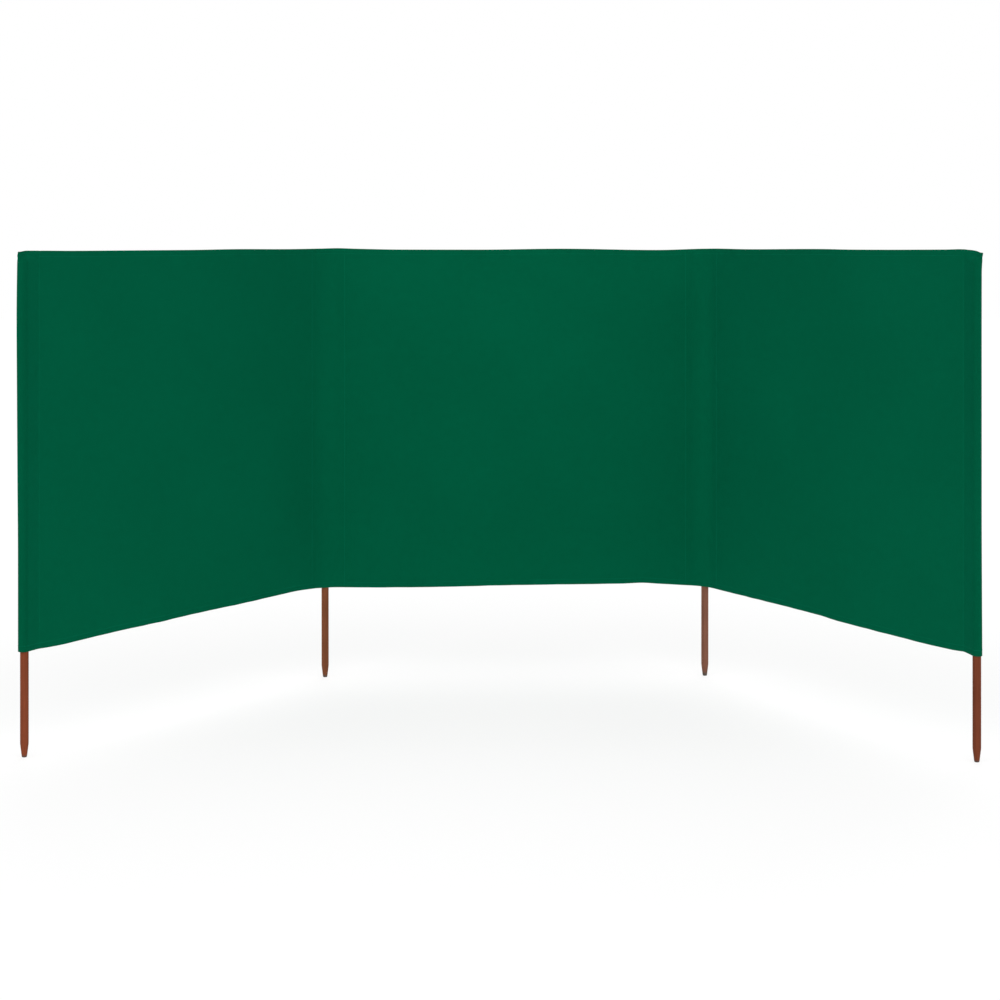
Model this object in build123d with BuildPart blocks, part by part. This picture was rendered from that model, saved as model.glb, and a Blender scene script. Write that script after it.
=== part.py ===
from build123d import *
from math import acos, cos, degrees, radians, sin
import os

# A cloth privacy screen: three equal bays of cloth sewn round four wooden poles.
# Millimetres. The origin is the middle of the left inner pole's foot, +X runs
# along the middle bay, +Y points behind the screen and +Z points up.

# Poles: round stakes, cut to a blunt point at the foot and eased at the top
pole_length = 1480
pole_diameter = 25
point_length = 40
foot_diameter = 15
pole_top_round = 8

# Plan: the outer bays are turned forward, in degrees, from the line of the middle bay
bay_pitch = 1333
left_wing_turn = 52.3
right_wing_turn = 60.3

# Cloth: its edges pull in a little between the poles and are folded to the back as hems
cloth_height = 1185
cloth_thickness = 1
edge_bow = 4
hem_width = 20

# Sleeves: the cloth closes round a pole and is sewn to itself in flat double seams, beside and over it
sleeve_ease = 1.5
end_seam_distance = 50
end_seam_lap = 12
inner_seam_distance = 62
closing_seam_height = 20

# Gap between an inner sleeve and the wing that swings round it
swing_gap = 0.3

up = Vector(0, 0, 1)
pole_radius = pole_diameter / 2
pocket_radius = pole_radius + sleeve_ease
sleeve_radius = pocket_radius + cloth_thickness
cloth_top = pole_length + closing_seam_height
cloth_bottom = cloth_top - cloth_height
pocket_height = pole_length - cloth_bottom

# Feet of the poles, from left to right
left_reach = Vector(-cos(radians(left_wing_turn)), -sin(radians(left_wing_turn)), 0)
right_reach = Vector(cos(radians(right_wing_turn)), -sin(radians(right_wing_turn)), 0)
left_inner_foot = Vector(0, 0, 0)
right_inner_foot = Vector(bay_pitch, 0, 0)
left_outer_foot = left_inner_foot + left_reach * bay_pitch
right_outer_foot = right_inner_foot + right_reach * bay_pitch


def bay_direction(start_foot, end_foot):
    return (end_foot - start_foot).normalized()


def bay_plane(start_foot, end_foot):
    """Upright plane through two poles: x from the first pole to the second, y up, z to the front."""
    along = bay_direction(start_foot, end_foot)
    return Plane(origin=start_foot, x_dir=along, z_dir=along.cross(up))


def make_pole(foot):
    with BuildPart() as pole:
        with BuildSketch(Plane(origin=foot, x_dir=(1, 0, 0), z_dir=(0, -1, 0))):
            with BuildLine():
                Polyline(
                    (0, 0),
                    (foot_diameter / 2, 0),
                    (pole_radius, point_length),
                    (pole_radius, pole_length),
                    (0, pole_length),
                    close=True,
                )
            make_face()
        revolve(axis=Axis(foot, up))
        fillet(pole.edges().group_by(Axis.Z)[-1], pole_top_round)
    return pole


# Section of an end sleeve: round the far side of the pole, then straight to the seam,
# where the two layers lie flat on each other. The pole is at 0, 0 and the seam is at +x.
grip_angle = acos(pocket_radius / end_seam_distance)
layers_meet = (sleeve_radius - cloth_thickness * sin(grip_angle)) / cos(grip_angle)
end_seam_edge = end_seam_distance + end_seam_lap


def wrap_arc(radius):
    """Arc round the pole between the two places where the cloth leaves it for the seam."""
    return CenterArc((0, 0), radius, degrees(grip_angle), degrees(2 * (radians(180) - grip_angle)))


with BuildSketch() as end_sleeve_outline:
    with BuildLine():
        outer_wrap = wrap_arc(sleeve_radius)
        Polyline(
            outer_wrap @ 1,
            (layers_meet, -cloth_thickness),
            (end_seam_edge, -cloth_thickness),
            (end_seam_edge, cloth_thickness),
            (layers_meet, cloth_thickness),
            outer_wrap @ 0,
        )
    make_face()

with BuildSketch() as end_sleeve_pocket:
    with BuildLine():
        inner_wrap = wrap_arc(pocket_radius)
        Polyline(inner_wrap @ 1, (end_seam_distance, 0), inner_wrap @ 0)
    make_face()

# Section of an inner sleeve: a round pocket with one flat double seam on the middle bay's side,
# so that a wing can swing round the rest of it
with BuildSketch() as inner_sleeve_outline:
    Circle(sleeve_radius)
    Rectangle(inner_seam_distance, 2 * cloth_thickness, align=(Align.MIN, Align.CENTER))

with BuildSketch() as inner_sleeve_pocket:
    Circle(pocket_radius)


def make_sleeve(foot, along, outline, pocket, seam_edge):
    """Tube of cloth that is open at the bottom, with a layer on the pole's top and a flat seam above it."""
    mouth = Plane(origin=foot + up * cloth_bottom, x_dir=along, z_dir=up)
    with BuildPart() as sleeve:
        with BuildSketch(mouth):
            add(outline.sketch)
        extrude(amount=pocket_height + cloth_thickness)
        with BuildSketch(mouth):
            add(pocket.sketch)
        extrude(amount=pocket_height, mode=Mode.SUBTRACT)
        with BuildSketch(mouth.offset(pocket_height)):
            with Locations((-pocket_radius, 0)):
                Rectangle(pocket_radius + seam_edge, 2 * cloth_thickness, align=(Align.MIN, Align.CENTER))
        extrude(amount=closing_seam_height)
    return sleeve


def bowed_strip(span, edges, bows):
    """Face between two level edges, each raised or lowered by its own bow halfway along the span."""
    start, end = span
    middle = (start + end) / 2
    low, high = edges
    low_bow, high_bow = bows
    with BuildSketch() as strip:
        with BuildLine():
            low_edge = ThreePointArc((start, low), (middle, low + low_bow), (end, low))
            high_edge = ThreePointArc((start, high), (middle, high + high_bow), (end, high))
            Line(low_edge @ 0, high_edge @ 0)
            Line(low_edge @ 1, high_edge @ 1)
        make_face()
    return strip.sketch


def make_panel(plane, span):
    whole_drop = bowed_strip(span, (cloth_bottom, cloth_top), (edge_bow, -edge_bow))
    with BuildPart() as panel:
        with BuildSketch(plane.offset(-cloth_thickness / 2)):
            add(whole_drop)
        extrude(amount=cloth_thickness)
    return panel


def make_hem(plane, span, edges, bow):
    """Edge of the cloth, folded flat against the panel's back."""
    fold = bowed_strip(span, edges, (bow, bow))
    with BuildPart() as hem:
        with BuildSketch(plane.offset(-cloth_thickness / 2)):
            add(fold)
        extrude(amount=-cloth_thickness)
    return hem


# Each bay: its first and last pole's foot, and where its flat cloth begins and ends between them
wing_end = sleeve_radius + swing_gap
bays = {
    "left": (left_outer_foot, left_inner_foot, end_seam_edge, bay_pitch - wing_end),
    "middle": (
        left_inner_foot,
        right_inner_foot,
        inner_seam_distance,
        bay_pitch - inner_seam_distance,
    ),
    "right": (right_inner_foot, right_outer_foot, wing_end, bay_pitch - end_seam_edge),
}

# Each pole: its foot, and its sleeve's seam direction, section and seam edge
poles = {
    "left_outer": (
        left_outer_foot,
        -left_reach,
        end_sleeve_outline,
        end_sleeve_pocket,
        end_seam_edge,
    ),
    "left_inner": (
        left_inner_foot,
        bay_direction(left_inner_foot, right_inner_foot),
        inner_sleeve_outline,
        inner_sleeve_pocket,
        inner_seam_distance,
    ),
    "right_inner": (
        right_inner_foot,
        bay_direction(right_inner_foot, left_inner_foot),
        inner_sleeve_outline,
        inner_sleeve_pocket,
        inner_seam_distance,
    ),
    "right_outer": (
        right_outer_foot,
        -right_reach,
        end_sleeve_outline,
        end_sleeve_pocket,
        end_seam_edge,
    ),
}

pieces = {}
for side, (foot, *sleeve_form) in poles.items():
    pieces[f"{side}_pole"] = make_pole(foot)
    pieces[f"{side}_sleeve"] = make_sleeve(foot, *sleeve_form)

for bay, (start_foot, end_foot, cloth_start, cloth_end) in bays.items():
    plane = bay_plane(start_foot, end_foot)
    span = (cloth_start, cloth_end)
    pieces[f"{bay}_panel"] = make_panel(plane, span)
    pieces[f"{bay}_top_hem"] = make_hem(plane, span, (cloth_top - hem_width, cloth_top), -edge_bow)
    pieces[f"{bay}_bottom_hem"] = make_hem(plane, span, (cloth_bottom, cloth_bottom + hem_width), edge_bow)

os.makedirs("parts", exist_ok=True)
for node, piece in pieces.items():
    piece.part.label = node
    export_step(piece.part, f"parts/{node}.step")
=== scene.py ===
import math

import bpy
import numpy as np
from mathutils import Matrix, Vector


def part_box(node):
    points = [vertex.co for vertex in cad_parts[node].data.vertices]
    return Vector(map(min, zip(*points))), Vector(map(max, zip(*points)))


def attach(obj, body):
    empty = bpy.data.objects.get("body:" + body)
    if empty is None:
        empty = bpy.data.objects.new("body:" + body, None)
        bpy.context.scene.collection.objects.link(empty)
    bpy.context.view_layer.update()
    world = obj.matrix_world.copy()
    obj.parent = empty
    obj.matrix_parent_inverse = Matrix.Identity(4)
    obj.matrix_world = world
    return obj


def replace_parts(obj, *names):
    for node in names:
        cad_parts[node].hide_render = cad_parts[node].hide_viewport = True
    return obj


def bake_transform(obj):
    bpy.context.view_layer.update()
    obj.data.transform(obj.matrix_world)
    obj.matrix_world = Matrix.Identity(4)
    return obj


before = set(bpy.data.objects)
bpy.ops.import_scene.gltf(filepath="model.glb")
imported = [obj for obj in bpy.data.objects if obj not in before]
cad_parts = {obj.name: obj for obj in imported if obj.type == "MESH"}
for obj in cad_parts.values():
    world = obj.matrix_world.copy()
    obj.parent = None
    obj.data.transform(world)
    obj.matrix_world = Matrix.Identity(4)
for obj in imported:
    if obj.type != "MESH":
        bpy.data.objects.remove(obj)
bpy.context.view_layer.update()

# A privacy screen: one run of green cloth in three bays, sewn round four stained poles.
# Metres. Plan points are (x, y), and the front of the screen faces -Y.

# Cloth and sewing
CLOTH_THICKNESS = 0.0007
HEM_DEPTH = 0.020
HEM_FOLD = 0.0008
SLEEVE_EASE = 0.0015
END_SEAM = 0.050
SEAM_LAP = 0.012
SEAM_BEND = 0.040
LAYER_GAP = 0.00165
FIN_HALF = 0.0012
LEFT_SLEEVE_SLACK = 0.0040
RIGHT_SLEEVE_SLACK = 0.0005
POCKET_INSET = 0.0015
# Inboard distances from an end pole over which the painted shade, where the pole lies behind the cloth,
# fades out
POLE_SHADE_REACH = (-0.006, 0.012)

# Heights, from the pole's top, between which a sleeve or a pocket is drawn in to its closing seam
SLEEVE_CLOSING = (-0.010, 0.012)
POCKET_CLOSING = (-0.006, 0.014)

# Mesh: steps between columns, and rows by their distance from the cloth's edges
FLAT_STEP = 0.012
SLEEVE_STEP = 0.006
BEND_STEP = 0.0025
HEM_STEP = 0.0004
LOW_ROWS = (0, 0.005, 0.010, 0.015, HEM_DEPTH - HEM_STEP, HEM_DEPTH + HEM_STEP)
HIGH_ROWS = (
    0.034, 0.031, 0.028, 0.025, 0.0225, HEM_DEPTH + HEM_STEP, HEM_DEPTH - HEM_STEP,
    0.017, 0.014, 0.011, 0.008, 0.005, 0.0025, 0,
)
FREE_ROWS = 92
FOLD_ANGLES = np.radians([45, 90, 135])
CREASE_ANGLE = math.radians(38)

# Stitches
STITCH_PITCH = 0.0045
STITCH_LENGTH = 0.0036
THREAD_RADIUS = 0.00045
HEM_STITCH_INSET = 0.003
SEAM_STITCH_INSET = 0.006
FIN_STITCH_INSET = 0.006
FOLD_SHARE = 0.7
THREAD_SIDES = 6

# Rings of one stitch: share of its length, then girth and lift in thread radii
STITCH_RINGS = ((-0.5, 0.4, -0.5), (-0.34, 1, 0.3), (0.34, 1, 0.3), (0.5, 0.4, -0.5))

POLE_NAMES = ("left_outer", "left_inner", "right_inner", "right_outer")
UP = np.array([0.0, 0.0, 1.0])


# Places taken from the frame
def pole_axis(pole):
    low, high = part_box(f"{pole}_pole")
    return np.array([(low.x + high.x) / 2, (low.y + high.y) / 2])


def unit(vector):
    return vector / np.linalg.norm(vector)


axis_of = {pole: pole_axis(pole) for pole in POLE_NAMES}
left_way = unit(axis_of["left_inner"] - axis_of["left_outer"])
middle_way = unit(axis_of["right_inner"] - axis_of["left_inner"])
right_way = unit(axis_of["right_outer"] - axis_of["right_inner"])
bay_pitch = np.linalg.norm(axis_of["right_inner"] - axis_of["left_inner"])
pole_low, pole_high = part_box("left_inner_pole")
pole_radius = (pole_high.x - pole_low.x) / 2
pole_top = pole_high.z
sleeve_low, sleeve_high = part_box("left_inner_sleeve")
cloth_bottom, cloth_top = sleeve_low.z, sleeve_high.z
inner_seam = sleeve_high.x - axis_of["left_inner"][0]
wrap_radius = pole_radius + SLEEVE_EASE + CLOTH_THICKNESS / 2
pocket_radius = pole_radius + SLEEVE_EASE

# Edges of the cloth: (bays from the left end, millimetres above the level edge)
TOP_EDGE = [
    (-0.017, -3.2), (0.008, 0.0), (0.16, -1.5), (0.50, -1.5), (0.68, 0.1), (0.85, -1.2), (0.98, 0.0),
    (1.03, 1.3), (1.09, -1.0), (1.20, -3.6), (1.41, -3.9), (1.62, -0.7), (1.87, -5.2), (2.00, -0.7),
    (2.05, 0.1), (2.17, -1.3), (2.47, 1.5), (2.58, 0.5), (2.90, 3.0), (2.956, 4.5), (2.972, 3.1),
    (2.990, 1.2), (3.000, -1.2), (3.0115, -5.5),
]
BOTTOM_EDGE = [
    (-0.02, -0.5), (0.03, -2.6), (0.10, -5.1), (0.28, -0.3), (0.41, 0.4), (0.54, 3.6), (0.68, 3.8),
    (0.89, 7.2), (0.95, 4.0), (1.00, 0.4), (1.135, -1.9), (1.30, -0.6), (1.46, 4.2), (1.62, 6.8),
    (1.78, 9.2), (1.83, 11.8), (1.89, 7.6), (1.978, 1.3), (2.03, -0.6), (2.39, 0.2), (2.47, -1.3),
    (2.544, -4.8), (2.82, -6.0), (2.925, -3.8), (2.96, -0.8), (3.01, -2.0),
]

# Outer edges of the end sleeves: (height, millimetres further out than a snug sleeve)
LEFT_SLEEVE_EDGE = [
    (0.31, 1.0), (0.60, 1.2), (0.80, 2.9), (1.06, 4.8), (1.30, 6.3), (1.45, 4.4), (1.474, 3.6),
    (1.484, 1.2), (1.494, -3.2),
]
RIGHT_SLEEVE_EDGE = [
    (0.31, 1.2), (0.45, 0.0), (0.75, -1.8), (1.30, -1.9), (1.44, -1.4), (1.465, 0.8), (1.478, 2.6),
    (1.490, 0.5),
]

# Shallow folds of the slack cloth: (bay place, height) of both ends, half width, depth forward
SOFT_FOLDS = [
    ((0.10, 1.30), (0.72, 0.62), 0.085, 0.0030),
    ((0.35, 1.44), (0.93, 0.98), 0.070, -0.0024),
    ((1.17, 0.83), (1.72, 1.23), 0.065, -0.0036),
    ((1.30, 0.46), (1.78, 0.84), 0.090, 0.0024),
    ((1.52, 1.46), (1.93, 1.10), 0.050, 0.0018),
    ((2.12, 1.34), (2.62, 0.56), 0.080, -0.0026),
    ((2.40, 0.62), (2.90, 1.32), 0.085, 0.0028),
]
BELLY = -0.004
HEM_RIPPLE = 0.0009
HEM_RIPPLE_REACH = 0.05
SEAM_PUCKER = 0.0005

# Bays from a pole: where slack begins and over how much it grows, and where seams pucker
SLACK_START, SLACK_GROWTH = 0.05, 0.14
PUCKER_MIDDLE, PUCKER_WIDTH = 0.08, 0.03
PUCKER_START, PUCKER_GROWTH = 0.047, 0.02
FOLD_FADE = 0.25


def ease(share):
    """Smooth step from 0 to 1."""
    share = np.clip(share, 0, 1)
    return share * share * (3 - 2 * share)


def smooth_line(knots):
    """Smooth curve through listed points that doesn't swing past them."""
    x, y = np.array(knots).T
    slope = np.diff(y) / np.diff(x)
    before, after = slope[:-1], slope[1:]
    same_way = before * after > 0
    tangent = np.zeros_like(y)
    tangent[1:-1][same_way] = 2 * before[same_way] * after[same_way] / (before + after)[same_way]

    def height(place):
        k = np.clip(np.searchsorted(x, place) - 1, 0, len(x) - 2)
        width = x[k + 1] - x[k]
        t = np.clip((place - x[k]) / width, 0, 1)
        lean = width * t * (1 - t) * ((1 - t) * tangent[k] - t * tangent[k + 1])
        return y[k] + (y[k + 1] - y[k]) * ease(t) + lean

    return height


top_lift = smooth_line(TOP_EDGE)
bottom_lift = smooth_line(BOTTOM_EDGE)
left_sleeve_edge = smooth_line(LEFT_SLEEVE_EDGE)
right_sleeve_edge = smooth_line(RIGHT_SLEEVE_EDGE)


def top_edge(place):
    return cloth_top + top_lift(place) / 1000


def bottom_edge(place):
    return cloth_bottom + bottom_lift(place) / 1000


def slack(place, height):
    """How far the cloth stands forward of its bay's flat line."""
    to_pole = np.abs(place - np.round(place))
    free = ease((to_pole - SLACK_START) / SLACK_GROWTH)
    rise = np.clip((height - cloth_bottom) / (cloth_top - cloth_bottom), 0, 1)
    forward = BELLY * np.sin(math.pi * place) ** 2 * np.sin(math.pi * rise)
    for (place_a, height_a), (place_b, height_b), width, depth in SOFT_FOLDS:
        run = np.array([(place_b - place_a) * bay_pitch, height_b - height_a])
        right, above = (place - place_a) * bay_pitch, height - height_a
        along = (right * run[0] + above * run[1]) / (run @ run)
        across = (right * run[1] - above * run[0]) / np.linalg.norm(run)
        fade_in = ease((along + FOLD_FADE) / (2 * FOLD_FADE))
        fade_out = ease((1 + FOLD_FADE - along) / (2 * FOLD_FADE))
        forward = forward + depth * fade_in * fade_out * np.exp(-((across / width) ** 2))
    to_edge = np.minimum(top_edge(place) - height, height - bottom_edge(place))
    ripple = np.sin(place * 61 + 1.7 * np.sin(place * 17)) + 0.6 * np.sin(place * 103 + 2)
    forward = forward + HEM_RIPPLE * ripple * np.exp(-np.maximum(to_edge, 0) / HEM_RIPPLE_REACH)
    by_seam = np.exp(-(((to_pole - PUCKER_MIDDLE) / PUCKER_WIDTH) ** 2))
    pucker = np.sin(height * 95 + 3 * np.sin(height * 13 + place * 5)) * by_seam
    return forward * free + SEAM_PUCKER * pucker * ease((to_pole - PUCKER_START) / PUCKER_GROWTH)


# Plan lines
def front_of(way):
    """The right-hand side of a line that is followed along its way."""
    return np.array([way[1], -way[0]])


def angle_of(vector):
    return math.atan2(vector[1], vector[0])


def cross(a, b):
    return a[0] * b[1] - a[1] * b[0]


def straight(start, end, step):
    count = max(math.ceil(np.linalg.norm(end - start) / step), 1)
    return start + (end - start) * np.linspace(0, 1, count + 1)[:, None]


def arc(centre, radius, start_angle, end_angle):
    count = max(math.ceil(abs(end_angle - start_angle) * radius / BEND_STEP), 4)
    angles = np.linspace(start_angle, end_angle, count + 1)
    return centre + radius * np.stack([np.cos(angles), np.sin(angles)], 1)


def rounded_corner(before, corner, after, radius):
    """Arc that rounds a corner of a plan line."""
    way_in, way_out = unit(corner - before), unit(after - corner)
    turn = math.atan2(cross(way_in, way_out), way_in @ way_out)
    start = corner - way_in * radius * math.tan(abs(turn) / 2)
    inside = -front_of(way_in) * math.copysign(1, turn)
    first = angle_of(-inside)
    return arc(start + inside * radius, radius, first, first + turn)


def touch_point(outside, centre, radius, side):
    """Where a line from an outside point touches a circle, on the given side of it."""
    reach = outside - centre
    lean = math.acos(radius / np.linalg.norm(reach))
    angles = [angle_of(reach) + lean, angle_of(reach) - lean]
    touches = [centre + radius * np.array([math.cos(a), math.sin(a)]) for a in angles]
    return max(touches, key=lambda point: (point - centre) @ side)


def wrap(centre, radius, start, end, way_round):
    """Arc from one point to another round a circle, counterclockwise where way_round is 1."""
    first = angle_of(start - centre)
    sweep = ((angle_of(end - centre) - first) * way_round) % (2 * math.pi)
    return arc(centre, radius, first, first + way_round * sweep)


def join(*lines):
    points = np.concatenate(lines)
    apart = np.linalg.norm(np.diff(points, axis=0), axis=1) > 1e-6
    return points[np.concatenate([[True], apart])]


def run_along(plan):
    return np.concatenate([[0], np.cumsum(np.linalg.norm(np.diff(plan, axis=0), axis=1))])


class Route:
    """Plan line of a sheet of cloth, and how the sheet stands along it. Each point has a place along the
    bays, a share of a full hem, the point that it is drawn in to where the sheet is sewn shut at the top,
    the way and share by which it follows the outer edge of an end sleeve, and a share of painted shade
    where a pole lies behind it. flat_from and flat_to are the runs between which the cloth is not part of
    an end sleeve."""

    def __init__(self, plan, place, closing, hem=None, drawn_in=None, outward=None, backed=None,
                 outer_edge=None, first_run=0.0, flat_from=0.0, flat_to=None):
        self.plan, self.place, self.closing = plan, place, closing
        self.hem = np.ones(len(plan)) if hem is None else hem
        self.drawn_in = plan if drawn_in is None else drawn_in
        self.outward = np.zeros_like(plan) if outward is None else outward
        self.backed = np.zeros(len(plan)) if backed is None else backed
        self.outer_edge = outer_edge or np.zeros_like
        self.run = run_along(plan)
        self.first_run = first_run
        self.flat_from = flat_from
        self.flat_to = self.run[-1] if flat_to is None else flat_to
        along = np.gradient(plan, self.run, axis=0)
        along /= np.linalg.norm(along, axis=1)[:, None]
        self.front = np.stack([along[:, 1], -along[:, 0]], 1)

    def at(self, run, values):
        """One of the route's columns, read between its points."""
        if values.ndim == 1:
            return np.interp(run, self.run, values)
        return np.stack([np.interp(run, self.run, column) for column in values.T], -1)

    def middle(self, run, height):
        """Points in the middle of the cloth's thickness, at runs along the route and heights up it."""
        draw = ease((height - pole_top - self.closing[0]) / (self.closing[1] - self.closing[0]))[..., None]
        plan = self.at(run, self.plan) * (1 - draw) + self.at(run, self.drawn_in) * draw
        plan = plan + self.at(run, self.outward) * self.outer_edge(height)[..., None] / 1000
        plan = plan + self.at(run, self.front) * slack(self.at(run, self.place), height)[..., None]
        return np.concatenate([plan, height[..., None]], -1)

    def run_beside(self, pole, way, distance):
        """Run at which the flat cloth is a distance from a pole, measured along a bay's way."""
        flat = (self.run >= self.flat_from) & (self.run <= self.flat_to)
        reach = (self.plan[flat] - pole) @ way
        order = np.argsort(reach)
        return np.interp(distance, reach[order], self.run[flat][order])


def corner_line(pole, way_in, way_out):
    """Bend of the cloth in front of an inner pole."""
    half_turn = math.acos(np.clip(way_in @ way_out, -1, 1)) / 2
    radius = pocket_radius / (1 / math.cos(half_turn) - 1)
    return rounded_corner(pole - way_in, pole, pole + way_out, radius)


def end_sleeve(pole, inward, front, sleeve_slack):
    """Plan line from a bay's flat cloth round its end pole to the lap sewn behind it, with its places
    from the end, hem shares, drawn-in points, shares of the outer edge and shares of painted shade where
    the pole lies behind the cloth."""
    seam = pole + inward * END_SEAM
    lap_seam = seam - front * LAYER_GAP
    centre = pole - inward * sleeve_slack
    front_touch = touch_point(seam, centre, wrap_radius, front)
    back_touch = touch_point(lap_seam, centre, wrap_radius, -front)
    bend = rounded_corner(seam + inward, seam, front_touch, SEAM_BEND)
    way_round = math.copysign(1, cross(front, -inward))
    plan = join(
        bend,
        straight(bend[-1], front_touch, SLEEVE_STEP),
        wrap(centre, wrap_radius, front_touch, back_touch, way_round),
        straight(back_touch, lap_seam, SLEEVE_STEP),
        straight(lap_seam, lap_seam + inward * SEAM_LAP, SLEEVE_STEP),
    )
    inboard, forward = (plan - pole) @ inward, (plan - pole) @ front
    hem = np.where(forward < 0, ease((END_SEAM - inboard) / HEM_DEPTH), 1)
    run = run_along(plan)
    fold_run = (inboard[0] - inboard[-1] + run[-1]) / 2
    laid_flat = inboard[0] - fold_run + np.abs(run - fold_run)
    back_fin = LAYER_GAP - (LAYER_GAP - FIN_HALF) * hem
    fin = np.clip((fold_run - run) / 2, -back_fin, FIN_HALF)
    drawn_in = pole + laid_flat[:, None] * inward + fin[:, None] * front
    outward = -inward * ease(-inboard / wrap_radius)[:, None]
    # Painted shade: the cloth over the pole is coloured darker, standing in for light that would come
    # through a single layer
    backed = 1 - ease((inboard - POLE_SHADE_REACH[0]) / (POLE_SHADE_REACH[1] - POLE_SHADE_REACH[0]))
    return plan, inboard / bay_pitch, hem, drawn_in, outward, backed


def left_cloth_route():
    outer, inner = axis_of["left_outer"], axis_of["left_inner"]
    sleeve, sleeve_place, hem, drawn_in, outward, backed = (
        column[::-1] for column in end_sleeve(outer, left_way, front_of(left_way), LEFT_SLEEVE_SLACK)
    )
    bend = corner_line(inner, left_way, middle_way)
    flat = straight(sleeve[-1], bend[0], FLAT_STEP)
    front = join(flat, bend, straight(bend[-1], inner + middle_way * inner_seam, FLAT_STEP))[1:]
    plan = np.concatenate([sleeve, front])
    run = run_along(plan)
    pole_run = run[len(sleeve) + len(flat) - 2] + run_along(bend)[-1] / 2
    knots = [run[len(sleeve) - 1], pole_run, run[-1]]
    front_place = np.interp(run[len(sleeve):], knots, [sleeve_place[-1], 1, 1 + inner_seam / bay_pitch])
    return Route(
        plan,
        np.concatenate([sleeve_place, front_place]),
        SLEEVE_CLOSING,
        np.concatenate([hem, np.ones(len(front))]),
        np.concatenate([drawn_in, front]),
        np.concatenate([outward, np.zeros_like(front)]),
        np.concatenate([backed, np.zeros(len(front))]),
        left_sleeve_edge,
        first_run=bay_pitch - pole_run,
        flat_from=run[len(sleeve) - 1],
    )


def right_cloth_route():
    inner, outer = axis_of["right_inner"], axis_of["right_outer"]
    sleeve, from_end, hem, drawn_in, outward, backed = end_sleeve(
        outer, -right_way, front_of(right_way), RIGHT_SLEEVE_SLACK
    )
    bend = corner_line(inner, middle_way, right_way)
    lead = straight(inner - middle_way * inner_seam, bend[0], FLAT_STEP)
    front = join(lead, bend, straight(bend[-1], sleeve[0], FLAT_STEP))[:-1]
    plan = np.concatenate([front, sleeve])
    run = run_along(plan)
    pole_run = run_along(lead)[-1] + run_along(bend)[-1] / 2
    knots = [0, pole_run, run[len(front)]]
    front_place = np.interp(run[:len(front)], knots, [2 - inner_seam / bay_pitch, 2, 3 - from_end[0]])
    return Route(
        plan,
        np.concatenate([front_place, 3 - from_end]),
        SLEEVE_CLOSING,
        np.concatenate([np.ones(len(front)), hem]),
        np.concatenate([front, drawn_in]),
        np.concatenate([np.zeros_like(front), outward]),
        np.concatenate([np.zeros(len(front)), backed]),
        right_sleeve_edge,
        first_run=2 * bay_pitch - pole_run,
        flat_to=run[len(front)],
    )


def middle_cloth_route():
    start = axis_of["left_inner"] + middle_way * inner_seam
    end = axis_of["right_inner"] - middle_way * inner_seam
    plan = straight(start, end, FLAT_STEP)
    run = inner_seam + run_along(plan)
    return Route(plan, 1 + run / bay_pitch, SLEEVE_CLOSING, first_run=bay_pitch + inner_seam)


def pocket_route(pole, bays_along, way_in, way_out, cloth, cloth_runs):
    """Plan line of the strip sewn behind an inner pole, followed from right to left. cloth_runs are
    where the strip's seams lie on the cloth in front of it, right and left."""
    right_seam = pole + way_out * inner_seam - front_of(way_out) * LAYER_GAP
    left_seam = pole - way_in * inner_seam - front_of(way_in) * LAYER_GAP
    right_touch = touch_point(right_seam, pole, pocket_radius, -front_of(way_out))
    left_touch = touch_point(left_seam, pole, pocket_radius, -front_of(way_in))
    behind = join(
        straight(right_seam, right_touch, SLEEVE_STEP),
        wrap(pole, pocket_radius, right_touch, left_touch, 1),
        straight(left_touch, left_seam, SLEEVE_STEP),
    )
    right_lap = straight(right_seam + way_out * SEAM_LAP, right_seam, SLEEVE_STEP)[:-1]
    left_lap = straight(left_seam, left_seam - way_in * SEAM_LAP, SLEEVE_STEP)[1:]
    plan = np.concatenate([right_lap, behind, left_lap])
    share = run_along(behind) / run_along(behind)[-1]
    on_cloth = cloth_runs[0] + (cloth_runs[1] - cloth_runs[0]) * share
    drawn_in = cloth.at(on_cloth, cloth.plan) - cloth.at(on_cloth, cloth.front) * LAYER_GAP
    run = run_along(plan)
    reach = (inner_seam + SEAM_LAP) / bay_pitch
    from_pole = np.linalg.norm(plan - pole, axis=1)
    return Route(
        plan,
        bays_along + reach * (1 - 2 * run / run[-1]),
        POCKET_CLOSING,
        ease((END_SEAM - from_pole) / HEM_DEPTH),
        np.concatenate([right_lap, drawn_in, left_lap]),
        # Painted shade on the strip where the pole lies behind it
        backed=1 - ease((from_pole - pocket_radius) / pocket_radius),
        first_run=-run[-1],
    )


# Meshes
def make_piece(name, vertices, faces, material):
    mesh = bpy.data.meshes.new(name)
    mesh.from_pydata(vertices.reshape(-1, 3).tolist(), [], faces)
    mesh.validate()
    mesh.shade_smooth()
    mesh.set_sharp_from_angle(angle=CREASE_ANGLE)
    mesh.materials.append(material)
    piece = bpy.data.objects.new(name, mesh)
    bpy.context.collection.objects.link(piece)
    return piece


def add_place(piece, name, vectors):
    """Keeps a place for each vertex, for the materials to read."""
    attribute = piece.data.attributes.new(name, "FLOAT_VECTOR", "POINT")
    attribute.data.foreach_set("vector", np.asarray(vectors, np.float32).ravel())


def add_share(piece, name, shares):
    """Keeps a share for each vertex, for the materials to read."""
    attribute = piece.data.attributes.new(name, "FLOAT", "POINT")
    attribute.data.foreach_set("value", np.asarray(shares, np.float32).ravel())


def grid_faces(columns, rows):
    """Faces round a closed profile of so many rows, from each column to the next."""
    column, row = np.meshgrid(np.arange(columns - 1), np.arange(rows), indexing="ij")
    next_row = (row + 1) % rows
    here, beyond = column * rows, (column + 1) * rows
    corners = [here + row, beyond + row, beyond + next_row, here + next_row]
    return np.stack(corners, -1).reshape(-1, 4).tolist()


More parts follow.
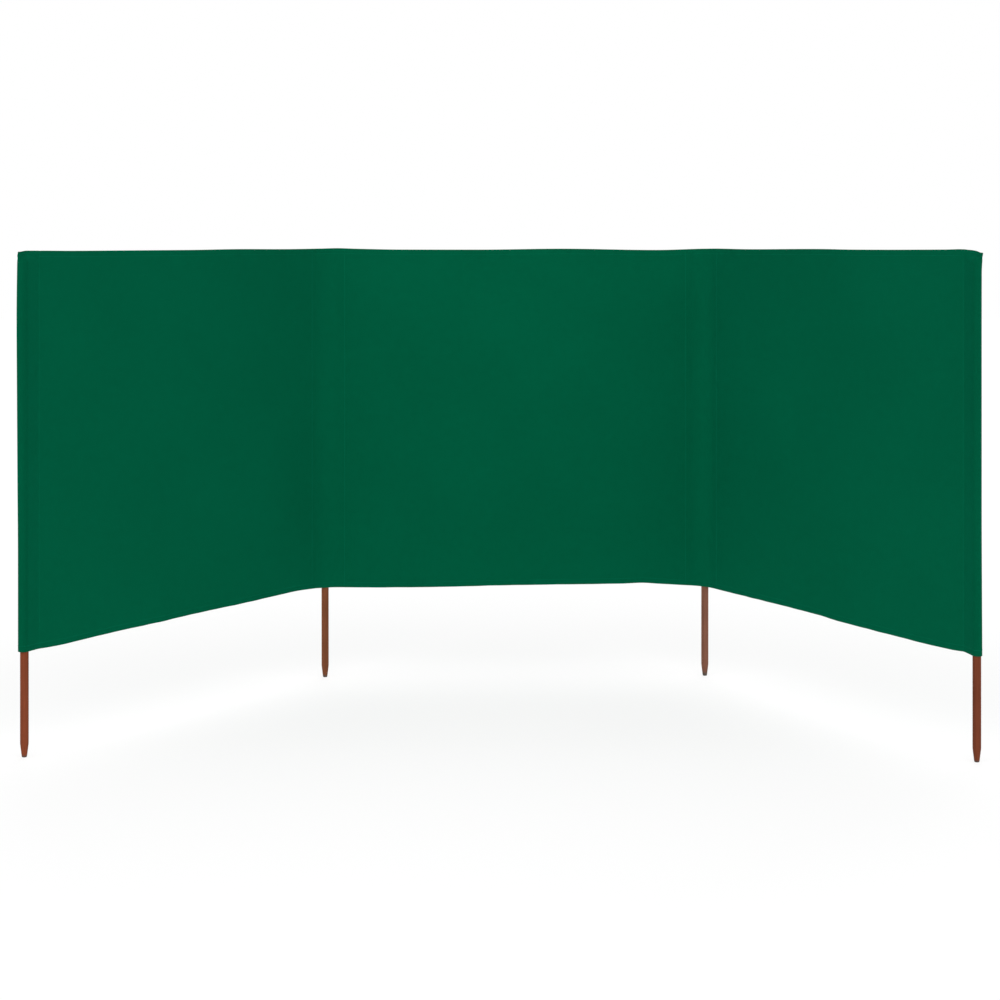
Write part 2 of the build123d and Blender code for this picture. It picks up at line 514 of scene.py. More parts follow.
def cloth_heights(top, bottom):
    low = bottom[:, None] + np.array(LOW_ROWS)
    high = top[:, None] - np.array(HIGH_ROWS)
    between = np.linspace(0, 1, FREE_ROWS + 2)[1:-1]
    free = low[:, -1:] + (high[:, :1] - low[:, -1:]) * between
    return np.concatenate([low, free, high], 1)


def sew_cloth(name, route, material, inset=0.0, top_hem=1.0):
    """A sheet of cloth along its route, with its hems folded to the back and its top drawn in."""
    heights = cloth_heights(top_edge(route.place) - inset, bottom_edge(route.place) + inset)
    columns, rows = heights.shape
    middle = route.middle(np.repeat(route.run[:, None], rows, 1), heights)
    along, rise = np.gradient(middle, axis=0), np.gradient(middle, axis=1)
    out = np.cross(along, rise)
    out /= np.linalg.norm(out, axis=-1)[..., None]
    hem_rows = np.zeros(rows)
    hem_rows[:len(LOW_ROWS) - 1] = 1
    hem_rows[len(LOW_ROWS) + FREE_ROWS + HIGH_ROWS.index(HEM_DEPTH - HEM_STEP):] = top_hem
    depth = CLOTH_THICKNESS / 2 + HEM_FOLD * route.hem[:, None] * hem_rows
    front = middle + out * CLOTH_THICKNESS / 2
    back = middle - out * depth[..., None]

    def folded_edge(row, sign, angles):
        centre = (front[:, row] + back[:, row]) / 2
        half = front[:, row] - centre
        upward = rise[:, row] / np.linalg.norm(rise[:, row], axis=-1)[:, None]
        over = sign * upward * np.linalg.norm(half, axis=-1)[:, None]
        return np.stack([centre + half * math.cos(a) + over * math.sin(a) for a in angles], 1)

    top_fold = folded_edge(-1, 1, FOLD_ANGLES)
    bottom_fold = folded_edge(0, -1, FOLD_ANGLES[::-1])
    profile = np.concatenate([front, top_fold, back[:, ::-1], bottom_fold], 1)
    size = profile.shape[1]
    faces = grid_faces(columns, size)
    for first, flip in ((0, False), ((columns - 1) * size, True)):
        back_row = first + 2 * rows + len(FOLD_ANGLES) - 1
        caps = [[first + j, first + j + 1, back_row - j - 1, back_row - j] for j in range(rows - 1)]
        caps.append([first + rows - 1 + j for j in range(len(FOLD_ANGLES) + 2)])
        caps.append([back_row + j for j in range(len(FOLD_ANGLES) + 1)] + [first])
        faces += [cap[::-1] if flip else cap for cap in caps]
    piece = make_piece(name, profile, faces, material)
    half_thick = np.linalg.norm(front - back, axis=-1) / 2
    over_fold = np.minimum(FOLD_ANGLES, math.pi - FOLD_ANGLES)
    over_top = heights[:, -1:] + half_thick[:, -1:] * over_fold
    under_bottom = heights[:, :1] - half_thick[:, :1] * over_fold
    rise_along = np.concatenate([heights, over_top, heights[:, ::-1], under_bottom], 1)
    run = np.broadcast_to((route.run + route.first_run)[:, None], rise_along.shape)
    add_place(piece, "cloth_run", np.stack([run, rise_along, np.zeros_like(run)], -1))
    # Share of painted shade where a pole lies behind the cloth, for the material
    add_share(piece, "painted_shade_behind_pole", np.broadcast_to(route.backed[:, None], rise_along.shape))
    return piece


# Stitching: every stitch is a short length of thread whose ends go down into the cloth
class Stitches:
    def __init__(self):
        self.rows = []

    def add(self, points, along, out):
        along = along / np.linalg.norm(along, axis=1)[:, None]
        out = out - along * np.sum(along * out, axis=1)[:, None]
        self.rows.append((points, along, out / np.linalg.norm(out, axis=1)[:, None]))

    def mesh(self, name, material):
        points, along, out = (np.concatenate(part) for part in zip(*self.rows))
        aside = np.cross(along, out)
        sides, last_ring = THREAD_SIDES, len(STITCH_RINGS) - 1
        turn = np.linspace(0, 2 * math.pi, sides, endpoint=False)
        rings = []
        for lengthwise, girth, lift in STITCH_RINGS:
            for angle in turn:
                rings.append(
                    points
                    + along * lengthwise * STITCH_LENGTH
                    + out * THREAD_RADIUS * (lift + girth * math.cos(angle))
                    + aside * THREAD_RADIUS * girth * math.sin(angle)
                )
        vertices = np.stack(rings, 1)
        one = []
        for ring in range(last_ring):
            near, far = ring * sides, (ring + 1) * sides
            for k in range(sides):
                following = (k + 1) % sides
                one.append([near + k, near + following, far + following, far + k])
        one.append(list(range(sides))[::-1])
        one.append(list(range(last_ring * sides, (last_ring + 1) * sides)))
        count = vertices.shape[1]
        firsts = range(0, len(points) * count, count)
        faces = [[first + v for v in face] for first in firsts for face in one]
        piece = make_piece(name, vertices, faces, material)
        piece.data.attributes.remove(piece.data.attributes["sharp_edge"])
        ring_places = [ring[0] for ring in STITCH_RINGS]
        lengthwise = np.tile(np.repeat(ring_places, sides) * STITCH_LENGTH, len(points))
        number = np.repeat(np.arange(len(points)), count) * STITCH_LENGTH
        add_place(piece, "cloth_run", np.stack([number + lengthwise, lengthwise, lengthwise], -1))
        return piece


def level_row(stitches, route, runs, heights, side):
    """Stitches along a route, at the given heights: outside the cloth (1) or behind its hem (-1).
    None is made across a sharp fold."""
    middle = route.middle(runs, heights)
    along = np.gradient(middle, axis=0)
    straight_on = np.linalg.norm(along, axis=1) > FOLD_SHARE * STITCH_PITCH
    middle, along = middle[straight_on], along[straight_on]
    out = side * np.cross(along, UP)
    out /= np.linalg.norm(out, axis=1)[:, None]
    cover = CLOTH_THICKNESS / 2 if side > 0 else CLOTH_THICKNESS / 2 + HEM_FOLD
    stitches.add(middle + out * cover, along, out)


def top_hem_line(place):
    return top_edge(place) - HEM_DEPTH + HEM_STITCH_INSET


def bottom_hem_line(place):
    return bottom_edge(place) + HEM_DEPTH - HEM_STITCH_INSET


def hem_row(stitches, route, first, last, hem_line, side):
    """Stitches along a hem, between two runs of a route."""
    runs = np.arange(first + STITCH_PITCH / 2, last, STITCH_PITCH)
    level_row(stitches, route, runs, hem_line(route.at(runs, route.place)), side)


def upright_row(stitches, route, run):
    """Stitches up a seam, on the outside of the cloth."""
    place = route.at(np.array([run]), route.place)
    low, high = bottom_edge(place)[0] + HEM_STITCH_INSET, top_edge(place)[0] - HEM_STITCH_INSET
    heights = np.arange(low + STITCH_PITCH / 2, high - STITCH_PITCH / 2, STITCH_PITCH)
    runs = np.full(len(heights), run)
    out = np.pad(route.at(runs, route.front), ((0, 0), (0, 1)))
    points = route.middle(runs, heights) + out * CLOTH_THICKNESS / 2
    stitches.add(points, np.tile(UP, (len(heights), 1)), out)


def fin_line(place):
    return top_edge(place) - FIN_STITCH_INSET


# Poles
POINT_LENGTH = 0.040
FOOT_RADIUS = 0.0075
FOOT_WEAR = 0.0016
SHOULDER_WEAR = 0.0030
TOP_ROUND = 0.008
STAKE_SIDES = 40
STAKE_WOBBLE = 0.00014
WHITTLED_FLATS = 9
WHITTLED_DEPTH = 0.018
WHITTLED_TOP, WHITTLED_FOOT = 0.006, 0.004
FOOT_WEAR_HEIGHT = 0.0010
WOBBLE_FADE = 0.02

# Heights of a pole's rings: its foot's edge, then first, last and number up the cone and its shoulder
FOOT_RINGS = (0, 0.0005, 0.0012, 0.0022)
CONE_RINGS = (0.005, 0.034, 9)
SHOULDER_RINGS = (0.036, 0.046, 7)
SHANK_START, SHANK_RINGS = 0.06, 64
CROWN_RINGS = 7


def stake_rows():
    """Heights and radii up a pole: worn foot, cone, worn shoulder, shank and eased top."""
    cone = np.concatenate([FOOT_RINGS, np.linspace(*CONE_RINGS), np.linspace(*SHOULDER_RINGS)])
    shank = np.linspace(SHANK_START, pole_top - TOP_ROUND, SHANK_RINGS)
    heights = np.concatenate([cone, shank])
    slope = (pole_radius - FOOT_RADIUS) / POINT_LENGTH
    cut = FOOT_RADIUS + slope * heights
    over = cut - pole_radius
    radii = pole_radius + (over - np.sqrt(over**2 + (slope * SHOULDER_WEAR) ** 2)) / 2
    radii -= FOOT_WEAR * np.exp(-heights / FOOT_WEAR_HEIGHT)
    crown = np.radians(np.linspace(0, 90, CROWN_RINGS)[1:])
    crown_heights = pole_top - TOP_ROUND + TOP_ROUND * np.sin(crown)
    crown_radii = pole_radius - TOP_ROUND + TOP_ROUND * np.cos(crown)
    return np.concatenate([heights, crown_heights]), np.concatenate([radii, crown_radii])


def make_stake(pole, number, material):
    heights, radii = stake_rows()
    turn = -np.linspace(0, 2 * math.pi, STAKE_SIDES, endpoint=False)
    up, round_it = np.meshgrid(heights, turn, indexing="ij")
    on_point = ease((POINT_LENGTH - up) / WHITTLED_TOP) * ease(up / WHITTLED_FOOT)
    flats = 1 - WHITTLED_DEPTH * on_point * np.cos(WHITTLED_FLATS * round_it + number) ** 2
    uneven = np.sin(2 * round_it + 3.1 * up + number) * np.sin(9 * up + 2 * number + round_it)
    wobble = STAKE_WOBBLE * uneven * ease(up / WOBBLE_FADE) * ease((pole_top - up) / WOBBLE_FADE)
    girth = radii[:, None] * flats + wobble
    local = np.stack([girth * np.cos(round_it), girth * np.sin(round_it), up], -1)
    faces = grid_faces(len(heights), STAKE_SIDES)
    faces.append(list(range(STAKE_SIDES)))
    faces.append(list(range((len(heights) - 1) * STAKE_SIDES, len(heights) * STAKE_SIDES))[::-1])
    stake = make_piece(f"{pole}_stake", local + np.append(axis_of[pole], 0), faces, material)
    add_place(stake, "grain_place", local)
    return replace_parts(stake, f"{pole}_pole")


# Materials: small helpers, then effects that several finishes share, then the finishes
def feed(tree, socket, value):
    if isinstance(value, bpy.types.NodeSocket):
        tree.links.new(value, socket)
    else:
        socket.default_value = value


def add_node(tree, kind, inputs=None, **settings):
    node = tree.nodes.new(kind)
    for name, value in settings.items():
        setattr(node, name, value)
    for name, value in (inputs or {}).items():
        feed(tree, node.inputs[name], value)
    return node


def calc(tree, operation, *values):
    node = add_node(tree, "ShaderNodeMath", operation=operation)
    for socket, value in zip(node.inputs, values):
        feed(tree, socket, value)
    return node.outputs[0]


def spread(tree, vector, scales):
    node = add_node(tree, "ShaderNodeVectorMath", operation="MULTIPLY")
    feed(tree, node.inputs[0], vector)
    feed(tree, node.inputs[1], scales)
    return node.outputs[0]


def cloudy(tree, vector, scale, detail=2.0, roughness=0.5):
    inputs = {"Vector": vector, "Scale": scale, "Detail": detail, "Roughness": roughness}
    return add_node(tree, "ShaderNodeTexNoise", inputs).outputs["Fac"]


def between(tree, value, low, high):
    """0 where a value is at low or before it, 1 at high or past it."""
    inputs = {"Value": value, "From Min": low, "From Max": high}
    return add_node(tree, "ShaderNodeMapRange", inputs, interpolation_type="SMOOTHSTEP").outputs["Result"]


def mix_colours(tree, share, first, second):
    node = add_node(tree, "ShaderNodeMix", data_type="RGBA")
    for number, value in ((0, share), (6, first), (7, second)):
        feed(tree, node.inputs[number], value)
    return node.outputs[2]


def new_group(name, inputs, outputs):
    tree = bpy.data.node_groups.new(name, "ShaderNodeTree")
    for socket, kind in inputs.items():
        tree.interface.new_socket(socket, in_out="INPUT", socket_type=f"NodeSocket{kind}")
    for socket, kind in outputs.items():
        tree.interface.new_socket(socket, in_out="OUTPUT", socket_type=f"NodeSocket{kind}")
    return tree, add_node(tree, "NodeGroupInput").outputs, add_node(tree, "NodeGroupOutput").inputs


def use_group(tree, group, **values):
    node = add_node(tree, "ShaderNodeGroup", node_tree=group)
    for name, value in values.items():
        feed(tree, node.inputs[name.replace("_", " ").title()], value)
    return node.outputs


# Change of tone along a thread and from thread to thread, streaks and fibres to a metre, soil's patches
THREAD_DRIFT, THREAD_VARIETY = 0.03, 0.73
STREAKS = (150.0, 150.0, 3.2)
FIBRES = (900.0, 900.0, 22.0)
SOIL_PATCHES, SOIL_RAGGEDNESS = 320.0, 1.6


def woven_threads_group():
    """Plain weave: two sets of threads that pass over and under each other, no two quite alike."""
    tree, given, result = new_group(
        "woven_threads",
        {"Place": "Vector", "Threads": "Float"},
        {"Height": "Float", "Thread Tone": "Float"},
    )
    axes = add_node(tree, "ShaderNodeSeparateXYZ", {"Vector": given["Place"]}).outputs
    across = calc(tree, "MULTIPLY", axes["X"], given["Threads"])
    upward = calc(tree, "MULTIPLY", axes["Y"], given["Threads"])
    warp_wave = calc(tree, "SINE", calc(tree, "MULTIPLY", across, math.pi))
    weft_wave = calc(tree, "SINE", calc(tree, "MULTIPLY", upward, math.pi))
    warp_on_top = calc(tree, "GREATER_THAN", calc(tree, "MULTIPLY", warp_wave, weft_wave), 0.0)
    warp_place = {"X": calc(tree, "FLOOR", across), "Y": calc(tree, "MULTIPLY", upward, THREAD_DRIFT)}
    weft_place = {"X": calc(tree, "MULTIPLY", across, THREAD_DRIFT), "Y": calc(tree, "FLOOR", upward)}
    warp_tone = add_node(tree, "ShaderNodeCombineXYZ", warp_place).outputs[0]
    weft_tone = add_node(tree, "ShaderNodeCombineXYZ", weft_place).outputs[0]
    warp_shade = cloudy(tree, warp_tone, THREAD_VARIETY)
    weft_shade = cloudy(tree, weft_tone, THREAD_VARIETY)
    for output, warp, weft in (
        ("Height", calc(tree, "ABSOLUTE", warp_wave), calc(tree, "ABSOLUTE", weft_wave)),
        ("Thread Tone", warp_shade, weft_shade),
    ):
        shown = add_node(tree, "ShaderNodeMix", {0: warp_on_top, 2: weft, 3: warp})
        tree.links.new(shown.outputs[0], result[output])
    return tree


def soft_mottle_group():
    """Slow drift of tone over a dyed or stained surface."""
    tree, given, result = new_group(
        "soft_mottle", {"Place": "Vector", "Scale": "Float"}, {"Mottle": "Float"}
    )
    broad = cloudy(tree, given["Place"], given["Scale"], 3.0, 0.55)
    tree.links.new(between(tree, broad, 0.25, 0.75), result["Mottle"])
    return tree


def wood_grain_group():
    """Long streaks and fine fibres that run up a turned pole."""
    tree, given, result = new_group(
        "wood_grain", {"Place": "Vector", "Piece": "Float"}, {"Grain": "Float", "Fibre": "Float"}
    )
    apart = add_node(tree, "ShaderNodeCombineXYZ", {"X": given["Piece"], "Z": given["Piece"]}).outputs[0]
    places = {0: given["Place"], 1: apart}
    shifted = add_node(tree, "ShaderNodeVectorMath", places, operation="ADD").outputs[0]
    streaks = cloudy(tree, spread(tree, shifted, STREAKS), 1.0, 4.0, 0.6)
    fibres = cloudy(tree, spread(tree, shifted, FIBRES), 1.0, 2.0, 0.6)
    grain = calc(tree, "ADD", calc(tree, "MULTIPLY", streaks, 0.7), calc(tree, "MULTIPLY", fibres, 0.3))
    tree.links.new(between(tree, grain, 0.30, 0.70), result["Grain"])
    tree.links.new(fibres, result["Fibre"])
    return tree


def ground_soil_group():
    """Soil left on the end of a pole that is pushed into the ground."""
    tree, given, result = new_group(
        "ground_soil", {"Place": "Vector", "Reach": "Float"}, {"Soil": "Float"}
    )
    height = add_node(tree, "ShaderNodeSeparateXYZ", {"Vector": given["Place"]}).outputs["Z"]
    patches = calc(tree, "SUBTRACT", cloudy(tree, given["Place"], SOIL_PATCHES, 3.0, 0.6), 0.5)
    unevenness = calc(tree, "MULTIPLY", given["Reach"], SOIL_RAGGEDNESS)
    ragged = calc(tree, "ADD", height, calc(tree, "MULTIPLY", patches, unevenness))
    faint = calc(tree, "SUBTRACT", 1.0, between(tree, ragged, 0.0, given["Reach"]))
    tree.links.new(faint, result["Soil"])
    return tree


woven_threads = woven_threads_group()
soft_mottle = soft_mottle_group()
wood_grain = wood_grain_group()
ground_soil = ground_soil_group()


def new_material(name):
    material = bpy.data.materials.new(name)
    material.use_nodes = True
    tree = material.node_tree
    return material, tree, tree.nodes["Principled BSDF"].inputs


def place_of(tree, attribute):
    return add_node(tree, "ShaderNodeAttribute", attribute_name=attribute).outputs["Vector"]


def share_of(tree, attribute):
    return add_node(tree, "ShaderNodeAttribute", attribute_name=attribute).outputs["Fac"]


def raise_by(tree, height, distance, strength=1.0, under=None):
    inputs = {"Height": height, "Distance": distance, "Strength": strength}
    if under is not None:
        inputs["Normal"] = under
    return add_node(tree, "ShaderNodeBump", inputs).outputs["Normal"]


CLOTH_SHADE = (0.0001, 0.0860, 0.0385, 1)
CLOTH_LIGHT = (0.0003, 0.1250, 0.0590, 1)
# Dark green of painted shade, in the weave's gaps between threads and where a pole lies behind the cloth
PAINTED_SHADE_GREEN = (0.0000, 0.0420, 0.0180, 1)
# Weave heights over which the painted gap shade fades into the thread's own colour
GAP_EDGE, THREAD_EDGE = 0.0, 0.55
# Share of the painted shade green mixed in where a pole lies behind the cloth
PAINTED_POLE_SHADE = 0.24
# Ends of the thread's colour: they carry its random drift of tone and the painted shade and highlight of
# its twist
THREAD_SHADE = (0.0008, 0.1250, 0.0600, 1)
THREAD_LIGHT = (0.0025, 0.2100, 0.1100, 1)
SHEEN_GREEN = (0.00, 0.60, 0.40, 1)
SOIL_GREY = (0.070, 0.068, 0.058, 1)
THREADS_A_METRE = 1100.0
TWISTS_A_METRE = 1800.0
CLOTH_DRIFT, CLOTH_FLECKS = 2.3, 38.0
DRIFT_SHARE, FLECK_SHARE, THREAD_SHARE = 0.18, 0.14, 0.68
CRUMPLE_HEIGHT, WEAVE_HEIGHT, TWIST_HEIGHT, FIBRE_HEIGHT = 0.0006, 0.00020, 0.00008, 0.00020
SHEEN, SHEEN_ROUGHNESS = 0.06, 0.5
DARK_GRAIN, LIGHT_GRAIN = 0.70, 1.25
GRAIN_SHARE, STAIN_DRIFT_SHARE = 0.65, 0.35
MATT_SPECULAR = 0.01
POLE_SPECULAR = 0.07


def green_cloth():
    material, tree, shader = new_material("green_cloth")
    place = place_of(tree, "cloth_run")
    weave = use_group(tree, woven_threads, place=place, threads=THREADS_A_METRE)
    drift = use_group(tree, soft_mottle, place=place, scale=CLOTH_DRIFT)["Mottle"]
    flecks = use_group(tree, soft_mottle, place=place, scale=CLOTH_FLECKS)["Mottle"]
    broad = calc(tree, "MULTIPLY", drift, DRIFT_SHARE)
    tone = calc(tree, "ADD", broad, calc(tree, "MULTIPLY", flecks, FLECK_SHARE))
    tone = calc(tree, "ADD", tone, calc(tree, "MULTIPLY", weave["Thread Tone"], THREAD_SHARE))
    cloth = mix_colours(tree, tone, CLOTH_SHADE, CLOTH_LIGHT)
    # Painted shade: darker where a pole lies behind the cloth, in place of light that would shine through
    # one layer
    pole_shade_share = calc(tree, "MULTIPLY", share_of(tree, "painted_shade_behind_pole"), PAINTED_POLE_SHADE)
    cloth = mix_colours(tree, pole_shade_share, cloth, PAINTED_SHADE_GREEN)
    # Painted shade in the weave's gaps: low places between threads go to the dark shade green
    out_of_gap_shade = between(tree, weave["Height"], GAP_EDGE, THREAD_EDGE)
    feed(tree, shader["Base Color"], mix_colours(tree, out_of_gap_shade, PAINTED_SHADE_GREEN, cloth))
    feed(tree, shader["Roughness"], calc(tree, "ADD", 0.80, calc(tree, "MULTIPLY", tone, 0.15)))
    crumple = raise_by(tree, flecks, CRUMPLE_HEIGHT, 0.5)
    feed(tree, shader["Normal"], raise_by(tree, weave["Height"], WEAVE_HEIGHT, 1.0, crumple))
    shader["Specular IOR Level"].default_value = MATT_SPECULAR
    shader["Sheen Weight"].default_value = SHEEN
    shader["Sheen Roughness"].default_value = SHEEN_ROUGHNESS
    shader["Sheen Tint"].default_value = SHEEN_GREEN
    return material


def green_thread():
    material, tree, shader = new_material("green_thread")
    place = place_of(tree, "cloth_run")
    twist = use_group(tree, woven_threads, place=place, threads=TWISTS_A_METRE)
    drift = use_group(tree, soft_mottle, place=place, scale=60.0)["Mottle"]
    # Thread colour: half a slow random drift of tone, half painted shade and highlight, darker in the
    # twist's hollows and lighter on its ridges
    tone = calc(tree, "MULTIPLY", calc(tree, "ADD", twist["Height"], drift), 0.5)
    feed(tree, shader["Base Color"], mix_colours(tree, tone, THREAD_SHADE, THREAD_LIGHT))
    feed(tree, shader["Roughness"], calc(tree, "ADD", 0.62, calc(tree, "MULTIPLY", drift, 0.15)))
    feed(tree, shader["Normal"], raise_by(tree, twist["Height"], TWIST_HEIGHT, 0.6))
    shader["Specular IOR Level"].default_value = 2 * MATT_SPECULAR
    return material


def pole_stain(name, stain, number, soil_reach):
    """Red-brown stain over wood grain, with dry soil left on the foot."""
    material, tree, shader = new_material(name)
    place = place_of(tree, "grain_place")
    grain = use_group(tree, wood_grain, place=place, piece=0.37 * (number + 1))
    drawn_out = spread(tree, place, (1.0, 1.0, 0.6))
    drift = use_group(tree, soft_mottle, place=drawn_out, scale=9.0 + number)["Mottle"]
    soil = use_group(tree, ground_soil, place=place, reach=soil_reach)["Soil"]
    dark = tuple(DARK_GRAIN * c for c in stain) + (1,)
    light = tuple(LIGHT_GRAIN * c for c in stain) + (1,)
    streaked = calc(tree, "MULTIPLY", grain["Grain"], GRAIN_SHARE)
    tone = calc(tree, "ADD", streaked, calc(tree, "MULTIPLY", drift, STAIN_DRIFT_SHARE))
    stained = mix_colours(tree, tone, dark, light)
    feed(tree, shader["Base Color"], mix_colours(tree, soil, stained, SOIL_GREY))
    rough = calc(tree, "ADD", 0.48, calc(tree, "MULTIPLY", grain["Fibre"], 0.25))
    feed(tree, shader["Roughness"], calc(tree, "ADD", rough, calc(tree, "MULTIPLY", soil, 0.25)))
    feed(tree, shader["Normal"], raise_by(tree, grain["Fibre"], FIBRE_HEIGHT, 0.5))
    shader["Specular IOR Level"].default_value = POLE_SPECULAR
    return material


# Cloth, pockets, poles and stitching; poles and the middle bay's pieces go on the body that carries them,
# the wings' pieces stay where they are built
left_route, middle_route, right_route = left_cloth_route(), middle_cloth_route(), right_cloth_route()
left_inner, right_inner = axis_of["left_inner"], axis_of["right_inner"]
left_pocket_route = pocket_route(
    left_inner,
    1,
    left_way,
    middle_way,
    left_route,
    (left_route.run[-1], left_route.run_beside(left_inner, -left_way, inner_seam)),
)
right_pocket_route = pocket_route(
    right_inner,
    2,
    middle_way,
    right_way,
    right_route,
    (right_route.run_beside(right_inner, right_way, inner_seam), 0.0),
)

cloth_finish, thread_finish = green_cloth(), green_thread()
left_cloth = sew_cloth("left_cloth", left_route, cloth_finish)
middle_cloth = sew_cloth("middle_cloth", middle_route, cloth_finish)
right_cloth = sew_cloth("right_cloth", right_route, cloth_finish)
left_pocket = sew_cloth("left_pocket", left_pocket_route, cloth_finish, POCKET_INSET, 0.0)
right_pocket = sew_cloth("right_pocket", right_pocket_route, cloth_finish, POCKET_INSET, 0.0)


def bay_hems(stitches, route, back_from, back_to):
    """Stitches of a bay's hems: both hems on the front and behind, between the sewn sleeves."""
    hem_row(stitches, route, route.flat_from, route.flat_to, top_hem_line, 1)
    hem_row(stitches, route, 0.0, route.run[-1], bottom_hem_line, 1)
    for hem_line in (top_hem_line, bottom_hem_line):
        hem_row(stitches, route, back_from, back_to, hem_line, -1)


def pocket_seams(stitches, route):
    """Stitches that hold a pocket's two laps, seen from behind, and those of its hem."""
    end = route.run[-1]
    for run in (SEAM_LAP - SEAM_STITCH_INSET, end - SEAM_LAP + SEAM_STITCH_INSET):
        upright_row(stitches, route, run)
    runs = np.arange(STITCH_PITCH / 2, end, STITCH_PITCH)
    level_row(stitches, route, runs, bottom_hem_line(route.at(runs, route.place)) + POCKET_INSET, 1)


lap_reach = inner_seam + SEAM_LAP
stitch_reach = inner_seam + SEAM_STITCH_INSET

left_stitches = Stitches()
left_lap_run = left_route.run_beside(left_inner, -left_way, lap_reach)
bay_hems(left_stitches, left_route, left_route.flat_from, left_lap_run)
hem_row(left_stitches, left_route, SEAM_LAP, left_route.flat_from, fin_line, 1)
for run in (
    SEAM_LAP - SEAM_STITCH_INSET,
    left_route.flat_from,
    left_route.run_beside(left_inner, -left_way, stitch_reach),
):
    upright_row(left_stitches, left_route, run)
pocket_seams(left_stitches, left_pocket_route)

middle_stitches = Stitches()
middle_end = middle_route.run[-1]
bay_hems(middle_stitches, middle_route, SEAM_LAP, middle_end - SEAM_LAP)
for run in (SEAM_STITCH_INSET, middle_end - SEAM_STITCH_INSET):
    upright_row(middle_stitches, middle_route, run)

right_stitches = Stitches()
right_end = right_route.run[-1]
right_lap_run = right_route.run_beside(right_inner, right_way, lap_reach)
bay_hems(right_stitches, right_route, right_lap_run, right_route.flat_to)
hem_row(right_stitches, right_route, right_route.flat_to, right_end - SEAM_LAP, fin_line, 1)
for run in (
    right_route.run_beside(right_inner, right_way, stitch_reach),
    right_route.flat_to,
    right_end - SEAM_LAP + SEAM_STITCH_INSET,
):
    upright_row(right_stitches, right_route, run)
pocket_seams(right_stitches, right_pocket_route)

left_stitching = left_stitches.mesh("left_stitching", thread_finish)
middle_stitching = middle_stitches.mesh("middle_stitching", thread_finish)
right_stitching = right_stitches.mesh("right_stitching", thread_finish)

# Stain of each pole, from left to right, and how far up its foot the soil reaches
POLE_STAINS = [
    ((0.192, 0.0452, 0.0188), 0.010),
    ((0.174, 0.0570, 0.0248), 0.014),
    ((0.189, 0.0790, 0.0500), 0.024),
    ((0.144, 0.0355, 0.0152), 0.009),
]
stakes = {}
for number, (pole, (stain, soil_reach)) in enumerate(zip(POLE_NAMES, POLE_STAINS)):
    finish = pole_stain(f"{pole}_stain", stain, number, soil_reach)
    stakes[pole] = make_stake(pole, number, finish)

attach(stakes["left_outer"], "left_wing")
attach(stakes["left_inner"], "middle_bay")
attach(stakes["right_inner"], "middle_bay")
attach(stakes["right_outer"], "right_wing")

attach(middle_cloth, "middle_bay")
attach(middle_stitching, "middle_bay")
for piece in (left_cloth, left_pocket, left_stitching):
    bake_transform(piece)
for piece in (right_cloth, right_pocket, right_stitching):
    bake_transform(piece)

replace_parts(left_cloth, "left_panel", "left_top_hem", "left_bottom_hem", "left_outer_sleeve")
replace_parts(middle_cloth, "middle_panel", "middle_top_hem", "middle_bottom_hem")
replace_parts(right_cloth, "right_panel", "right_top_hem", "right_bottom_hem", "right_outer_sleeve")
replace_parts(left_pocket, "left_inner_sleeve")
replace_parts(right_pocket, "right_inner_sleeve")


# Studio: pale floor, even light with soft lamps (degrees round from the front, strength), level camera
FLOOR_REACH = 60.0
FLOOR_WHITE = (0.90, 0.90, 0.90, 1)
FLOOR_SHADOW = (0.28, 0.28, 0.28, 1)
FLOOR_GLOW = 0.70
SKY_LEVEL = 0.57
LAMP_SPREAD = math.radians(50)
LAMP_RISE = math.radians(35)
LAMPS = {
    "left_lamp": (-60, 0.75),
    "front_lamp": (0, 0.92),
    "right_lamp": (60, 0.75),
    "back_lamp": (170, 1.00),
}


def seen_by_camera(tree):
    path = add_node(tree, "ShaderNodeLightPath").outputs
    seen = calc(tree, "MAXIMUM", path["Is Camera Ray"], path["Is Glossy Ray"])
    return calc(tree, "MAXIMUM", seen, path["Is Transmission Ray"])


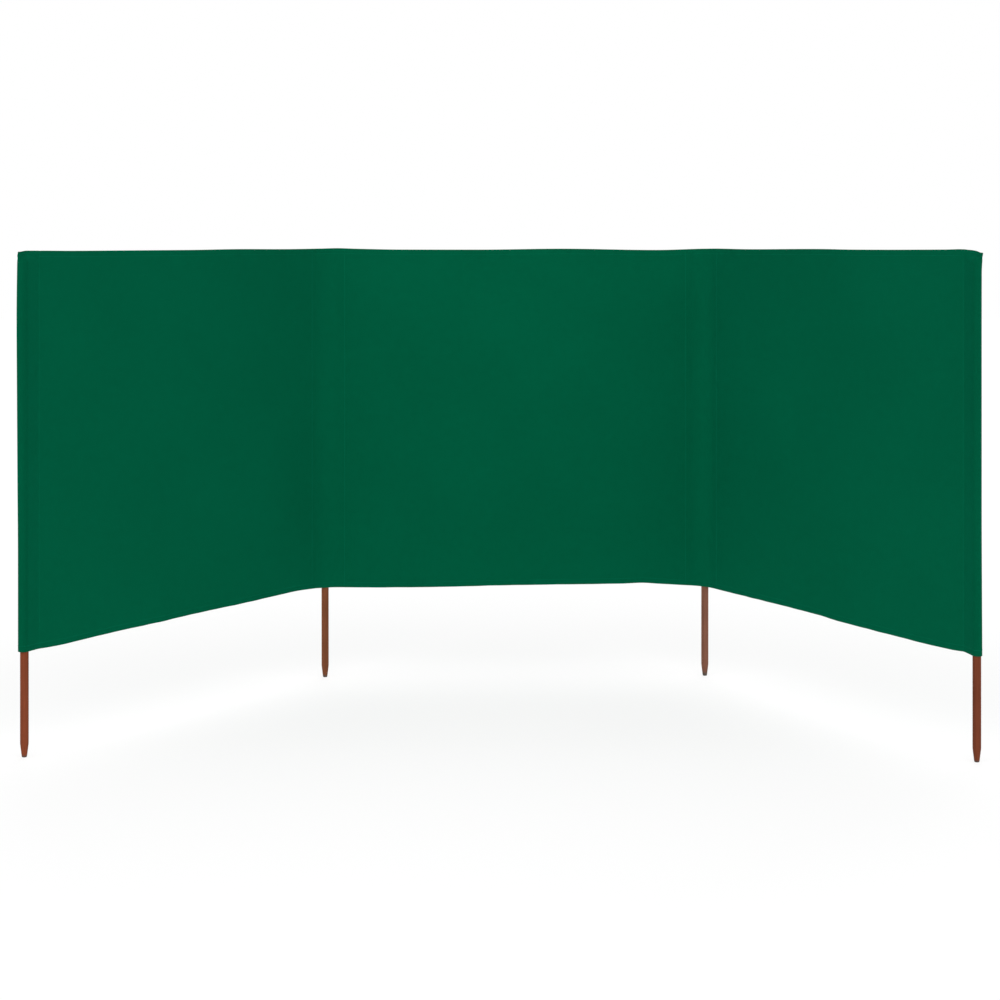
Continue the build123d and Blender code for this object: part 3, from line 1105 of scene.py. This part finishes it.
def make_floor():
    reach = FLOOR_REACH / 2
    corners = np.array([(-reach, -reach, 0), (reach, -reach, 0), (reach, reach, 0), (-reach, reach, 0)])
    mesh = bpy.data.meshes.new("studio_floor")
    mesh.from_pydata(corners.tolist(), [], [(0, 1, 2, 3)])
    material, tree, shader = new_material("floor_white")
    seen = seen_by_camera(tree)
    feed(tree, shader["Base Color"], mix_colours(tree, seen, FLOOR_WHITE, FLOOR_SHADOW))
    shader["Roughness"].default_value = 1.0
    shader["Specular IOR Level"].default_value = 0.0
    shader["Emission Color"].default_value = (1, 1, 1, 1)
    feed(tree, shader["Emission Strength"], calc(tree, "MULTIPLY", seen, FLOOR_GLOW))
    mesh.materials.append(material)
    floor = bpy.data.objects.new("studio_floor", mesh)
    bpy.context.collection.objects.link(floor)


def light_studio():
    world = bpy.data.worlds.new("studio_sky")
    world.use_nodes = True
    tree = world.node_tree
    sky = tree.nodes["Background"].inputs
    sky["Color"].default_value = (1, 1, 1, 1)
    lift = calc(tree, "MULTIPLY", seen_by_camera(tree), 1 - SKY_LEVEL)
    feed(tree, sky["Strength"], calc(tree, "ADD", lift, SKY_LEVEL))
    bpy.context.scene.world = world
    for name, (turn, strength) in LAMPS.items():
        lamp = bpy.data.lights.new(name, "SUN")
        lamp.energy, lamp.angle = strength, LAMP_SPREAD
        holder = bpy.data.objects.new(name, lamp)
        holder.rotation_euler = (math.radians(90) - LAMP_RISE, 0, math.radians(turn))
        bpy.context.collection.objects.link(holder)


# Camera: level, with the frame shifted down so that upright poles stay upright
CAMERA_PLACE = (0.4947, -6.9470, 1.5418)
CAMERA_TURN = math.radians(-0.974)
CAMERA_LENS_MM = 71.28
CAMERA_SHIFT = -0.2632


def place_camera():
    data = bpy.data.cameras.new("camera")
    data.sensor_width = 36
    data.lens = CAMERA_LENS_MM
    data.shift_y = CAMERA_SHIFT
    camera = bpy.data.objects.new("camera", data)
    camera.location = CAMERA_PLACE
    camera.rotation_euler = (math.radians(90), 0, CAMERA_TURN)
    bpy.context.collection.objects.link(camera)
    bpy.context.scene.camera = camera


make_floor()
light_studio()
place_camera()
bpy.context.scene.view_settings.view_transform = "Standard"

bpy.context.view_layer.update()
